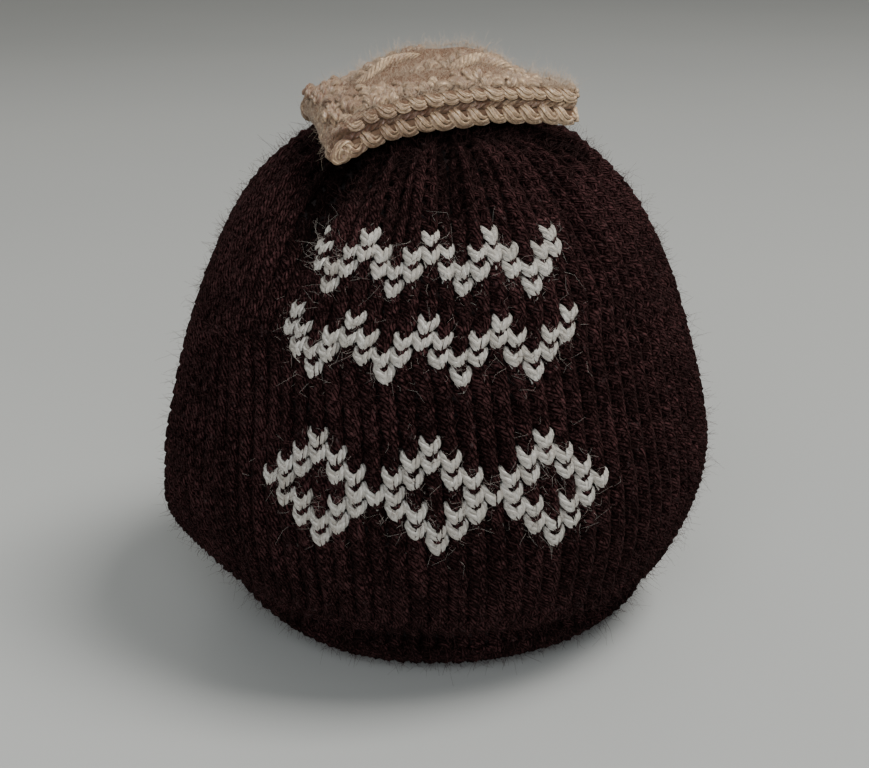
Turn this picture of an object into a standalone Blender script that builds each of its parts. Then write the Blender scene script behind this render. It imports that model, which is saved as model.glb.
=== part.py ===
"""A knitted tea cosy: a front and a back panel round a hollow, and a little folded cap on top.

Metres, +Z up. The front faces -Y, the spout opening -X and the handle opening +X. The hem rests on z = 0.
"""

import bpy
import numpy as np

MM = 0.001

CLOTH = 4.6  # thickness of the knitted panels
PLACE = (1.0, 0.0, 0.0)  # puts the middle of the whole width over the origin
SEAM_GAP = 0.3  # between the front and back panels where they are sewn
DEPTH = 0.97  # front-to-back radius as a share of the side-to-side radius
COLUMNS = 44  # faces across one panel
ROWS_PER_STATION = (2, 2, 2, 2, 2, 1, 1, 2, 2, 2, 2, 2, 1, 1)

# Half of the section seen from the front, from the hem up. Side is the general radius, spout is what
# the root of the spout adds on -X, and gather is how much of the top folds shows at that height.
STATIONS = np.array(
    [
        # height, side, spout, gather
        (0.0, 51.0, 0.0, 0.0),
        (4.0, 58.8, 0.0, 0.0),
        (9.5, 64.3, -1.0, 0.0),
        (14.5, 65.8, 0.0, 0.0),
        (20.0, 71.0, 6.5, 0.0),
        (31.0, 76.6, 7.6, 0.05),
        (44.0, 80.6, 3.4, 0.10),
        (58.0, 81.0, 0.8, 0.15),
        (80.0, 76.0, -0.4, 0.25),
        (102.0, 68.6, -1.0, 0.40),
        (122.0, 59.0, -1.0, 0.75),
        (135.5, 48.4, -0.5, 1.0),
        (143.5, 37.4, 0.0, 0.9),
        (147.6, 20.0, 0.0, 0.5),
        (148.4, 3.2, 0.0, 0.0),
    ]
)
SPOUT_SPREAD = 20.0  # degrees of azimuth over which the spout's bulge fades

# Creases of the gathered top. Azimuth is in degrees from the front, positive towards the handle.
# Depth and half-width (degrees) are at the top, and low is how far down the crease still reaches.
FOLDS = np.array(
    [
        # azimuth, depth, width, low
        (-81, 1.6, 4.5, 105),
        (-66, 1.4, 4.0, 112),
        (-52, 1.8, 4.0, 105),
        (-38, 4.2, 5.0, 20),
        (-24, 1.6, 3.6, 100),
        (-13, 2.2, 3.6, 98),
        (4, 2.8, 4.0, 92),
        (16, 2.3, 3.6, 100),
        (28, 1.4, 3.6, 110),
        (40, 2.0, 4.0, 96),
        (54, 1.4, 4.2, 104),
        (68, 1.8, 4.2, 100),
        (83, 1.4, 4.2, 108),
        (97, 1.6, 4.2, 104),
        (112, 1.6, 4.2, 100),
        (126, 2.2, 4.4, 96),
        (141, 1.5, 4.2, 106),
        (155, 2.4, 4.4, 90),
        (170, 1.6, 4.2, 104),
        (185, 2.2, 4.2, 94),
        (200, 1.5, 4.2, 106),
        (214, 2.0, 4.4, 98),
        (229, 1.6, 4.2, 102),
        (244, 2.0, 4.4, 100),
        (259, 1.4, 4.0, 108),
    ]
)

# Garter ridges of the hem: height of the ridge, how far it stands out, and its half-height.
RIDGES = np.array([(2.0, 1.0, 1.8), (7.0, 1.4, 1.9), (11.6, 1.2, 1.6)])
VALLEY = (15.2, 1.6, 1.7)  # the dip above the hem, written the same way

HEM_LIFT = 7.0  # how far the hem rides up under the spout
HEM_LIFT_SPREAD = (10.0, 66.0)  # degrees from the spout over which the lift fades to nothing
HEM_LIFT_TOP = 34.0  # height at which the lift has faded

# Openings: the lowest and highest point, the greatest half-width and its share of the height.
SPOUT_SLIT = (21.0, 97.0, 15.0, 0.42)
HANDLE_SLIT = (25.0, 106.0, 11.0, 0.48)

# The little cap lies over the round top. Its length runs from the folded end (-) to the peak (+).
CAP_AT = (0.4, -6.0)  # centre in plan
CAP_TURN = 14.0  # degrees about Z, which brings the folded end forward
CAP_CLEAR = 1.1  # between the cap's underside and the cosy
CAP_HALF = 36.0
CAP_LAYER = 4.5
CAP_GAP = 0.8  # between the two layers of the band
CAP_PEAK_LIFT = 3.0  # how far the peak end stands off the cosy
CAP_COLUMNS = 18
CAP_ACROSS = 8
# Plan of the band: place along the length, front edge and back edge.
CAP_PLAN = np.array(
    [
        # along, front, back
        (-36.0, -22.0, 16.5),
        (-30.0, -22.6, 18.5),
        (-12.0, -20.8, 19.6),
        (6.0, -19.2, 17.2),
        (20.0, -18.0, 8.5),
        (30.0, -16.4, -1.5),
        (36.0, -13.6, -7.5),
    ]
)
# Crown: lobes of the swollen top. Along and across are the lobe's centre, long and wide its
# half-sizes, height how far it rises (a hollow is negative) and turn its plan angle.
LOBES = np.array(
    [
        # along, across, long, wide, height, turn
        (0.0, 5.0, 20.0, 12.0, 3.7, 4.0),
        (-12.5, 2.5, 12.0, 3.0, 2.0, 9.0),
        (9.5, 1.5, 10.0, 3.2, 2.2, -8.0),
        (-12.0, -2.8, 11.0, 2.8, -1.7, 5.0),
        (1.5, -1.5, 3.0, 4.5, -1.5, 0.0),
        (5.0, 9.5, 8.0, 3.0, -1.5, 0.0),
    ]
)
CROWN_PLAN = (-2.0, 1.8, 24.0, 13.4)  # centre along and across, half-length and half-width
CROWN_RIM = 1.2  # thickness of the crown at its edge


def smooth_rows(table, per_station):
    """The table's rows with smooth in-between rows, by a Catmull-Rom curve through the columns."""
    rows = []
    last = len(table) - 1
    for i in range(last):
        a, b, c, d = (table[max(0, min(last, i + k))] for k in (-1, 0, 1, 2))
        for t in np.arange(per_station[i]) / per_station[i]:
            slope_b, slope_c = (c - a) / 2, (d - b) / 2
            rows.append(
                (2 * t**3 - 3 * t**2 + 1) * b
                + (t**3 - 2 * t**2 + t) * slope_b
                + (3 * t**2 - 2 * t**3) * c
                + (t**3 - t**2) * slope_c
            )
    rows.append(table[last])
    return np.array(rows)


def bump(offset, width):
    return np.exp(-((offset / width) ** 2))


def fade(value, low, high):
    share = np.clip((value - low) / (high - low), 0, 1)
    return share * share * (3 - 2 * share)


def slit_half_width(height, slit):
    low, high, half, peak = slit
    share = np.clip((height - low) / (high - low), 0, 1)
    power = np.log(0.5) / np.log(peak)
    return half * np.sin(np.pi * share**power) ** 0.7


def cosy_surface(azimuth, row):
    """The outer face. Azimuth is in degrees from the front; row holds the station columns."""
    height, side, spout, gather = row
    from_spout = (azimuth + 90 + 180) % 360 - 180
    radius = side + spout * bump(from_spout, SPOUT_SPREAD)
    for ridge, out, half in RIDGES:
        radius = radius + out * bump(height - ridge, half)
    radius = radius - VALLEY[1] * bump(height - VALLEY[0], VALLEY[2])
    for where, depth, width, low in FOLDS:
        away = (azimuth - where + 180) % 360 - 180
        reach = fade(height, low, low + 45) * (0.25 + 0.75 * fade(height, 60, 135))
        reach = reach * (1 + 0.7 * fade(height, 95, 125))
        close = fade(side, 4, 26)
        radius = radius - depth * reach * close * bump(away, width)
    lift = HEM_LIFT * (1 - fade(np.abs(from_spout), *HEM_LIFT_SPREAD))
    lift = lift * (1 - fade(height, 0, HEM_LIFT_TOP))
    turn = np.radians(azimuth)
    sway = 0.7 * gather * np.sin(3 * turn + 0.6)
    return np.stack(
        [radius * np.sin(turn), -DEPTH * radius * np.cos(turn), height + lift + sway * 0.4], -1
    )


def panel_grid(first, second, slits):
    """Outer points of one panel. It spans azimuth first to second and keeps clear of the slits."""
    rows = smooth_rows(STATIONS, ROWS_PER_STATION)
    grid = []
    for row in rows:
        height, side = row[0], row[1]
        ends = []
        for slit in slits:
            half = max(slit_half_width(height, slit), 0) + SEAM_GAP / 2
            ends.append(np.degrees(np.arcsin(min(half / (side * DEPTH), 0.9))))
        azimuth = np.linspace(first + ends[0], second - ends[1], COLUMNS + 1)
        grid.append(cosy_surface(azimuth, row))
    return np.array(grid)


def grid_normals(grid, centre):
    """Unit normals of a grid of points, pointing away from the centre line."""
    along = np.gradient(grid, axis=1)
    up = np.gradient(grid, axis=0)
    normal = np.cross(along, up)
    normal /= np.linalg.norm(normal, axis=2, keepdims=True)
    away = (normal * (grid - centre)).sum(axis=2, keepdims=True)
    return np.where(away < 0, -normal, normal)


def shell_faces(rows, columns):
    """Quads of a closed sheet: the outer grid, the inner grid after it, and the four rims."""
    outer = np.arange(rows * columns).reshape(rows, columns)
    inner = outer + rows * columns

    def quads(a, b, c, d):
        return np.stack([a.ravel(), b.ravel(), c.ravel(), d.ravel()], 1)

    sides = [
        quads(outer[:-1, :-1], outer[:-1, 1:], outer[1:, 1:], outer[1:, :-1]),
        quads(inner[:-1, :-1], inner[1:, :-1], inner[1:, 1:], inner[:-1, 1:]),
        quads(outer[0, :-1], inner[0, :-1], inner[0, 1:], outer[0, 1:]),
        quads(outer[-1, :-1], outer[-1, 1:], inner[-1, 1:], inner[-1, :-1]),
        quads(outer[:-1, 0], outer[1:, 0], inner[1:, 0], inner[:-1, 0]),
        quads(outer[:-1, -1], inner[:-1, -1], inner[1:, -1], outer[1:, -1]),
    ]
    return np.concatenate(sides)


def signed_volume(points, faces):
    a, b, c, d = (points[faces[:, k]] for k in range(4))
    return (np.cross(a, b) * c).sum() + (np.cross(a, c) * d).sum()


def add_solid(name, points, faces, colour, roughness):
    mesh = bpy.data.meshes.new(name)
    mesh.from_pydata(((points + PLACE) * MM).tolist(), [], faces)
    mesh.shade_smooth()
    material = bpy.data.materials.new(name + "_yarn")
    material.use_nodes = True
    shader = material.node_tree.nodes["Principled BSDF"]
    shader.inputs["Base Color"].default_value = (*colour, 1)
    shader.inputs["Roughness"].default_value = roughness
    mesh.materials.append(material)
    obj = bpy.data.objects.new(name, mesh)
    bpy.context.scene.collection.objects.link(obj)
    return obj


def add_shell(name, outer, inner, colour, roughness):
    """A closed sheet between two grids, with its faces turned outward."""
    points = np.concatenate([outer.reshape(-1, 3), inner.reshape(-1, 3)])
    faces = shell_faces(*outer.shape[:2])
    if signed_volume(points, faces) < 0:
        faces = faces[:, ::-1]
    return add_solid(name, points, faces.tolist(), colour, roughness)


def make_panel(name, first, second, slits, colour):
    outer = panel_grid(first, second, slits)
    normal = grid_normals(outer, np.array([0, 0, 70.0]))
    # The cloth lies flat on the table at the hem and level across the gather at the top.
    normal[0] *= (1, 1, 0)
    normal[0] /= np.linalg.norm(normal[0], axis=1, keepdims=True)
    normal[-1] = (0, 0, 1)
    inner = outer - CLOTH * normal
    # Seam and slit edges are cut square, so the panels stay parallel where they meet.
    inner[:, 0, 1] = outer[:, 0, 1]
    inner[:, -1, 1] = outer[:, -1, 1]
    return add_shell(name, outer, inner, colour, 0.95)


def top_height(radius):
    """Height of the cosy's top at this distance from the middle, with no creases."""
    rows = smooth_rows(STATIONS, ROWS_PER_STATION)[::-1]
    return np.interp(radius, rows[:14, 1], rows[:14, 0])


def to_cosy(along, across, above):
    """Cap points to the cosy's frame: the cap follows the round top, and its peak stands off it."""
    turn = np.radians(CAP_TURN)
    x = along * np.cos(turn) - across * np.sin(turn) + CAP_AT[0]
    y = along * np.sin(turn) + across * np.cos(turn) + CAP_AT[1]
    off = CAP_PEAK_LIFT * np.clip((along + 30) / 66, 0, 1) ** 1.8
    return np.stack([x, y, top_height(np.hypot(x, y / DEPTH)) + CAP_CLEAR + off + above], -1)


def cap_band():
    """One strip folded round at its left end: the lower layer, the fold and the upper layer."""
    half = CAP_LAYER + CAP_GAP / 2
    bend = half - 0.2
    share = np.linspace(1, 0, CAP_COLUMNS) ** 0.9
    straight = -CAP_HALF + bend + share * (2 * CAP_HALF - bend)
    angle = np.linspace(-90, 90, 9)[1:-1]
    # The middle line of the strip: along, height above the underside, and the direction it faces.
    middle = half
    lower = [(x, CAP_LAYER / 2, 0, -1) for x in straight]
    turn = [
        (
            -CAP_HALF + bend - (bend - CAP_LAYER / 2) * np.cos(np.radians(a)),
            middle + (middle - CAP_LAYER / 2) * np.sin(np.radians(a)),
            -np.cos(np.radians(a)),
            np.sin(np.radians(a)),
        )
        for a in angle
    ]
    upper = [(x, 2 * middle - CAP_LAYER / 2, 0, 1) for x in straight[::-1]]
    strip = np.array(lower + turn + upper)
    across = np.linspace(-1, 1, CAP_ACROSS + 1)
    faces_out, faces_in = [], []
    for x, z, face_x, face_z in strip:
        front = np.interp(x, CAP_PLAN[:, 0], CAP_PLAN[:, 1])
        back = np.interp(x, CAP_PLAN[:, 0], CAP_PLAN[:, 2])
        y = (front + back) / 2 + across * (back - front) / 2
        # Rounded edges: the layer thins towards the front and back edge.
        half_layer = CAP_LAYER / 2 * (1 - 0.45 * np.abs(across) ** 8)
        for side, store in ((1, faces_out), (-1, faces_in)):
            px = x + side * face_x * half_layer
            pz = z + side * face_z * half_layer
            store.append(to_cosy(px + 0 * y, y, pz + 0 * y))
    return add_shell("cap_band", np.array(faces_out), np.array(faces_in), (0.55, 0.36, 0.24), 0.9)


def crown_rise(along, across):
    rise = 0 * along
    for x, y, long, wide, height, turn in LOBES:
        t = np.radians(turn)
        u = (along - x) * np.cos(t) + (across - y) * np.sin(t)
        v = (across - y) * np.cos(t) - (along - x) * np.sin(t)
        rise = rise + height * np.exp(-((u / long) ** 2) - (v / wide) ** 2)
    return rise


def cap_crown():
    """The gathered top: a swollen pad on rings round its centre, with crests and hollows."""
    rings, spokes = 9, 32
    cx, cy, half_x, half_y = CROWN_PLAN
    ring = np.linspace(0, 1, rings + 1)[1:] ** 0.85
    spoke = np.linspace(0, 2 * np.pi, spokes, endpoint=False)
    x = cx + half_x * np.outer(ring, np.cos(spoke))
    y = cy + half_y * np.outer(ring, np.sin(spoke))
    floor = 2 * CAP_LAYER + CAP_GAP + 0.45
    edge = (1 - ring**4)[:, None]
    top = floor + CROWN_RIM + crown_rise(x, y) * edge
    middle = np.array([cx, cx]), np.array([cy, cy])
    middle_top = floor + CROWN_RIM + crown_rise(*middle)[0]
    points = np.concatenate(
        [
            to_cosy(x, y, top).reshape(-1, 3),
            to_cosy(x, y, floor + 0 * x).reshape(-1, 3),
            to_cosy(*middle, np.array([middle_top, floor])),
        ]
    )
    grid = np.arange(rings * spokes).reshape(rings, spokes)
    after = np.roll(grid, -1, axis=1)
    under = rings * spokes
    faces = []
    for i in range(rings - 1):
        for j in range(spokes):
            quad = [grid[i, j], grid[i + 1, j], after[i + 1, j], after[i, j]]
            faces.append(quad)
            faces.append([k + under for k in quad[::-1]])
    for j in range(spokes):
        faces.append([grid[-1, j], grid[-1, j] + under, after[-1, j] + under, after[-1, j]])
        faces.append([grid[0, j], after[0, j], 2 * under])
        faces.append([after[0, j] + under, grid[0, j] + under, 2 * under + 1])
    return add_solid("cap_crown", points, faces, (0.58, 0.39, 0.26), 0.9)


for old in list(bpy.data.objects):
    bpy.data.objects.remove(old)

BROWN = (0.030, 0.016, 0.016)
make_panel("front_panel", -90, 90, (SPOUT_SLIT, HANDLE_SLIT), BROWN)
make_panel("back_panel", 90, 270, (HANDLE_SLIT, SPOUT_SLIT), BROWN)
cap_band()
cap_crown()
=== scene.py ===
"""A hand-knitted tea cosy: stockinette panels on a garter hem, a pale worked motif and a little folded cap."""

import bpy
import numpy as np
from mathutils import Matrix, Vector


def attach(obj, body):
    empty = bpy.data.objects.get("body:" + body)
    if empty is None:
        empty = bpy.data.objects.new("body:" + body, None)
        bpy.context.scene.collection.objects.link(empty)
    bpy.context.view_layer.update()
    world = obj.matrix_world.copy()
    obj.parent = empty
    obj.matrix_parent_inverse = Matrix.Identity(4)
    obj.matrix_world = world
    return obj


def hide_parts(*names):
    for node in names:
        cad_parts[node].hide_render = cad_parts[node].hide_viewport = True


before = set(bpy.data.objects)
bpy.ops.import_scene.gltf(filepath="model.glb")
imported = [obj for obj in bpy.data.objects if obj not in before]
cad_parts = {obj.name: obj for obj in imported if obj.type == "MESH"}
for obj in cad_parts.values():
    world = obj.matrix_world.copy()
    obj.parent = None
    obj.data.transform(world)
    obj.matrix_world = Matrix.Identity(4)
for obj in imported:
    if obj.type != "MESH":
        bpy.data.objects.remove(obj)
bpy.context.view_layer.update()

# The studio. A plain pale floor and soft light from above the right-hand side, with a weaker fill from the
# front and a faint one from behind on the left, so the yarn shows its roundness without hard shadows.


def principled(name, roughness, **settings):
    """A material with one Principled shader. Settings are plain socket values."""
    material = bpy.data.materials.new(name)
    material.use_nodes = True
    shader = material.node_tree.nodes["Principled BSDF"]
    shader.inputs["Roughness"].default_value = roughness
    for socket, value in settings.items():
        shader.inputs[socket.replace("_", " ")].default_value = value
    return material, material.node_tree, shader


def node(tree, kind, values=None, **settings):
    """One shader node with its properties and unlinked input values."""
    made = tree.nodes.new(kind)
    for key, value in settings.items():
        setattr(made, key, value)
    for key, value in (values or {}).items():
        made.inputs[key].default_value = value
    return made


floor_mesh = bpy.data.meshes.new("floor")
floor_mesh.from_pydata([(-4, -4, 0), (4, -4, 0), (4, 4, 0), (-4, 4, 0)], [], [(0, 1, 2, 3)])
floor = bpy.data.objects.new("floor", floor_mesh)
bpy.context.scene.collection.objects.link(floor)
paint, tree, shader = principled("floor_paint", 0.42)
grain = node(tree, "ShaderNodeTexNoise", {"Scale": 3.0, "Detail": 2.0})
tint = node(tree, "ShaderNodeMix", {6: (0.41, 0.425, 0.42, 1), 7: (0.45, 0.46, 0.45, 1)}, data_type="RGBA")
tree.links.new(node(tree, "ShaderNodeTexCoord").outputs["Object"], grain.inputs["Vector"])
tree.links.new(grain.outputs["Fac"], tint.inputs[0])
tree.links.new(tint.outputs[2], shader.inputs["Base Color"])
floor_mesh.materials.append(paint)

world = bpy.data.worlds.new("studio")
bpy.context.scene.world = world
world.use_nodes = True
world.node_tree.nodes["Background"].inputs["Color"].default_value = (0.36, 0.36, 0.34, 1)
world.node_tree.nodes["Background"].inputs["Strength"].default_value = 0.75


def soft_light(name, place, power, size, colour):
    """A square area light aimed at the middle of the cosy."""
    light = bpy.data.lights.new(name, "AREA")
    light.energy, light.size, light.color = power, size, colour
    lamp = bpy.data.objects.new(name, light)
    lamp.location = place
    lamp.rotation_euler = (Vector((0, 0, 0.07)) - lamp.location).to_track_quat("-Z", "Y").to_euler()
    bpy.context.scene.collection.objects.link(lamp)


soft_light("window", (0.95, -0.05, 1.85), 42.0, 0.8, (1.0, 0.97, 0.93))
soft_light("fill", (-0.1, -1.0, 0.6), 8.3, 0.9, (0.94, 0.97, 1.0))
soft_light("rim", (-0.6, 0.8, 0.8), 1.2, 0.6, (1.0, 0.98, 0.95))

lens = bpy.data.cameras.new("camera")
lens.lens, lens.sensor_width, lens.clip_start = 58.4, 36, 0.02
camera = bpy.data.objects.new("camera", lens)
aim, reach, rise = Vector((0.0002, 0, 0.066)), 0.430, np.radians(20)
camera.location = aim + Vector((0, -reach * np.cos(rise), reach * np.sin(rise)))
camera.rotation_euler = (aim - camera.location).to_track_quat("-Z", "Y").to_euler()
bpy.context.scene.collection.objects.link(camera)
bpy.context.scene.camera = camera

# The front and back cloth. Each is one knitted sheet, shaped by the teapot it was pulled over: narrow at
# the hem, widest over the pot's belly, and drawn into folds at the top. The dark backing stands for the depth of
# the cloth between the loops, coloured darker than the yarn as painted shade, and its inside is left plain.
# Lengths are in mm and azimuths in degrees.

MM = 0.001
PLACE = np.array([1.0, 0.0, 0.0])  # where the cosy's upright axis stands
DEPTH = 0.97  # front-to-back radius as a share of the side-to-side radius
CLOTH = 4.6  # depth of the knitted cloth
SEAM_GAP = 0.3  # between the two panels at their side seams
SPOUT_SPREAD = 20.0  # half-width of the bulge over the spout's root, in degrees
STATIONS = np.array(
    [
        # height, side radius, what the spout's root adds, share of the top folds
        (0.0, 51.0, 0.0, 0.0),
        (4.0, 58.8, 0.0, 0.0),
        (9.5, 64.3, -1.0, 0.0),
        (14.5, 65.8, 0.0, 0.0),
        (20.0, 71.0, 6.5, 0.0),
        (31.0, 76.6, 7.6, 0.05),
        (44.0, 80.6, 3.4, 0.10),
        (58.0, 81.0, 0.8, 0.15),
        (80.0, 76.0, -0.4, 0.25),
        (102.0, 68.6, -1.0, 0.40),
        (122.0, 59.0, -1.0, 0.75),
        (135.5, 48.4, -0.5, 1.0),
        (143.5, 37.4, 0.0, 0.9),
        (147.6, 20.0, 0.0, 0.5),
        (148.4, 3.2, 0.0, 0.0),
    ]
)
FOLDS = np.array(
    [
        # azimuth from the front, depth, half-width in degrees, lowest height
        (-81, 1.6, 4.5, 105),
        (-66, 1.4, 4.0, 112),
        (-52, 1.8, 4.0, 105),
        (-38, 4.2, 6.6, 20),
        (-24, 1.6, 3.6, 100),
        (-13, 2.2, 3.6, 98),
        (4, 3.2, 4.6, 92),
        (16, 2.3, 3.6, 100),
        (28, 1.4, 3.6, 110),
        (40, 2.0, 4.0, 96),
        (54, 1.4, 4.2, 104),
        (68, 1.8, 4.2, 100),
        (83, 1.4, 4.2, 108),
        (97, 1.6, 4.2, 104),
        (112, 1.6, 4.2, 100),
        (126, 2.2, 4.4, 96),
        (141, 1.5, 4.2, 106),
        (155, 2.4, 4.4, 90),
        (170, 1.6, 4.2, 104),
        (185, 2.2, 4.2, 94),
        (200, 1.5, 4.2, 106),
        (214, 2.0, 4.4, 98),
        (229, 1.6, 4.2, 102),
        (244, 2.0, 4.4, 100),
        (259, 1.4, 4.0, 108),
    ]
)
RIDGES = ((2.0, 1.0, 1.8), (7.0, 1.4, 1.9), (11.6, 1.2, 1.6))  # height, how far out, half-width
VALLEY = (15.2, 2.5, 2.0)  # height, how deep, half-width
SPOUT_SLIT = (21.0, 97.0, 15.0, 0.42)  # lowest, highest, half-width, share of the height where widest
HANDLE_SLIT = (25.0, 106.0, 11.0, 0.48)
# Where the cap lies on the cosy, and half its length.
CAP_AT = (0.4, -6.0)
CAP_TURN = 14.0
CAP_HALF = 36.0
CAP_PLAN = np.array(
    [
        # along, front edge, back edge
        (-36, -22.0, 16.5),
        (-30, -22.6, 18.5),
        (-12, -20.8, 19.6),
        (6, -19.2, 17.2),
        (20, -18.0, 8.5),
        (30, -16.4, -1.5),
        (36, -13.6, -7.5),
    ]
)


def bump(offset, width):
    """exp(-(offset / width)^2)"""
    return np.exp(-((offset / width) ** 2))


def fade(value, low, high):
    """0 below low, 1 above high, and a smooth step between."""
    share = np.clip((value - low) / (high - low), 0, 1)
    return share * share * (3 - 2 * share)


def degrees_from(azimuth, where):
    """Azimuth less where, brought between -180 and 180."""
    return (azimuth - where + 180) % 360 - 180


def unit(vectors):
    """The vectors at a length of one."""
    return vectors / np.linalg.norm(vectors, axis=-1, keepdims=True)


def smooth_stations(steps=16):
    """A Catmull-Rom curve through the stations, with the length along it from the hem as a fifth column."""
    knots = np.concatenate([STATIONS[:1], STATIONS, STATIONS[-1:]])
    a, b, c, d = knots[:-3, None], knots[1:-2, None], knots[2:-1, None], knots[3:, None]
    t = (np.arange(steps) / steps)[None, :, None]
    curve = (
        (2 * t**3 - 3 * t**2 + 1) * b
        + (t**3 - 2 * t**2 + t) * (c - a) / 2
        + (3 * t**2 - 2 * t**3) * c
        + (t**3 - t**2) * (d - b) / 2
    ).reshape(-1, 4)
    curve = np.concatenate([curve, STATIONS[-1:]])
    length = np.cumsum(np.hypot(*np.diff(curve[:, :2], axis=0, prepend=curve[:1, :2]).T))
    return np.column_stack([curve, length])


PROFILE = smooth_stations()
UP_LENGTH = PROFILE[-1, 4]


def profile_at(up):
    """Height, side radius, what the spout's root adds and the share of the top folds, at a length up."""
    return [np.interp(up, PROFILE[:, 4], PROFILE[:, k]) for k in range(4)]


def crease(azimuth, up):
    """How far the folds draw the cloth in, in mm: each is a bell round its azimuth that deepens towards the top."""
    height, side = profile_at(up)[:2]
    drawn = 0
    for where, depth, width, low in FOLDS:
        away = degrees_from(azimuth, where)
        reach = fade(height, low, low + 45) * (0.25 + 0.75 * fade(height, 60, 135))
        reach = reach * (1 + 0.7 * fade(height, 95, 125) + 1.1 * fade(height, 116, 138))
        drawn = drawn + depth * reach * fade(side, 4, 26) * bump(away, width)
    return drawn


def cosy_point(azimuth, up):
    """The outer face: radius and height read from the profile at length up, less each crease, plus each ridge.

    The hem is lifted a little under the spout's root, and the gathered top sways up and down.
    """
    height, side, spout, gather = profile_at(up)
    from_spout = degrees_from(azimuth, -90)
    radius = side + spout * bump(from_spout, SPOUT_SPREAD)
    for ridge, out, half in RIDGES:
        radius = radius + out * bump(height - ridge, half)
    radius = radius - VALLEY[1] * bump(height - VALLEY[0], VALLEY[2])
    radius = radius - crease(azimuth, up)
    lift = 7.0 * (1 - fade(np.abs(from_spout), 10, 66)) * (1 - fade(height, 0, 34))
    turn = np.radians(azimuth)
    sway = 0.28 * gather * np.sin(3 * turn + 0.6)
    return np.stack([radius * np.sin(turn), -DEPTH * radius * np.cos(turn), height + lift + sway], -1)


def cosy_normal(azimuth, up):
    """The outward unit normal, from small steps round and up the surface."""
    across = cosy_point(azimuth + 0.6, up) - cosy_point(azimuth - 0.6, up)
    rise = cosy_point(azimuth, np.minimum(up + 0.8, UP_LENGTH)) - cosy_point(azimuth, np.maximum(up - 0.8, 0))
    return unit(np.cross(across, rise))


def slit_half(height, slit):
    """Half-width of a side opening: a sine arch, widest at the given share of its height."""
    low, high, half, peak = slit
    share = np.clip((height - low) / (high - low), 0, 1)
    return half * np.sin(np.pi * share ** (np.log(0.5) / np.log(peak))) ** 0.7


PANEL_COLUMNS = 44  # stitches across each panel
CROWD = 0.9  # degrees by which columns crowd into each crease at the top


def panel_azimuth(back, column, up):
    """Column 0 to 44 spread evenly between the panel's two edges, crowding into the creases near the top."""
    height, side = profile_at(up)[:2]
    slits = (HANDLE_SLIT, SPOUT_SLIT) if back else (SPOUT_SLIT, HANDLE_SLIT)
    first, last = (90.0, 270.0) if back else (-90.0, 90.0)
    lips = [
        np.degrees(np.arcsin(np.minimum((slit_half(height, slit) + SEAM_GAP / 2) / (side * DEPTH), 0.9)))
        for slit in slits
    ]
    azimuth = first + lips[0] + (last - lips[1] - first - lips[0]) * column / PANEL_COLUMNS
    pull = fade(height, 95, 140) * CROWD * np.minimum(1, np.minimum(column, PANEL_COLUMNS - column) / 3)
    shift = 0
    for where, depth, width, low in FOLDS:
        away = degrees_from(azimuth, where)
        shift = shift - pull * depth / 2 * (away / width) * bump(away, width * 1.3)
    return azimuth + shift


def cap_axes(points):
    """How far points lie along and across the cap."""
    turn = np.radians(CAP_TURN)
    x, y = points[..., 0] - CAP_AT[0], points[..., 1] - CAP_AT[1]
    return x * np.cos(turn) + y * np.sin(turn), y * np.cos(turn) - x * np.sin(turn)


def cap_edges(along):
    """How far across the cap its front and back edges lie, at each place along it."""
    return [np.interp(along, CAP_PLAN[:, 0], CAP_PLAN[:, k]) for k in (1, 2)]


def cap_near(points):
    """1 under the cap, falling to nothing about 12 mm outside its edge."""
    along, across = cap_axes(points)
    front, rear = cap_edges(along)
    beside = np.maximum(np.maximum(front - across, across - rear), 0)
    return bump(np.hypot(np.maximum(np.abs(along) - CAP_HALF, 0), beside), 5.8)


def panel_point(back, column, up, out):
    """Place on a panel, with out measured along the normal from the middle of the cloth's depth. The cloth
    sinks a little round the cap."""
    azimuth = panel_azimuth(back, column, up)
    normal = cosy_normal(azimuth, up)
    points = cosy_point(azimuth, up)
    return points + (out - CLOTH / 2 - 1.6 * cap_near(points))[..., None] * normal, normal


def mesh_object(name, points, faces, material, uv=None, tone=None):
    """A smooth-shaded mesh from arrays of points in mm and of equal-sided faces, given as a list of arrays."""
    mesh = bpy.data.meshes.new(name)
    mesh.vertices.add(len(points))
    mesh.vertices.foreach_set("co", ((points + PLACE) * MM).astype(np.float32).ravel())
    sizes = np.concatenate([np.full(len(f), f.shape[1]) for f in faces])
    mesh.loops.add(int(sizes.sum()))
    mesh.loops.foreach_set("vertex_index", np.concatenate([f.ravel() for f in faces]).astype(np.int32))
    mesh.polygons.add(len(sizes))
    mesh.polygons.foreach_set("loop_start", np.concatenate([[0], np.cumsum(sizes)[:-1]]).astype(np.int32))
    mesh.update(calc_edges=True)
    mesh.polygons.foreach_set("use_smooth", np.ones(len(sizes), bool))
    if uv is not None:
        mesh.uv_layers.new(name="yarn").data.foreach_set("uv", uv.astype(np.float32).ravel())
    if tone is not None:
        mesh.attributes.new("tone", "FLOAT", "POINT").data.foreach_set("value", tone.astype(np.float32))
    mesh.materials.append(material)
    made = bpy.data.objects.new(name, mesh)
    bpy.context.scene.collection.objects.link(made)
    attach(made, "root")
    return made


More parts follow.
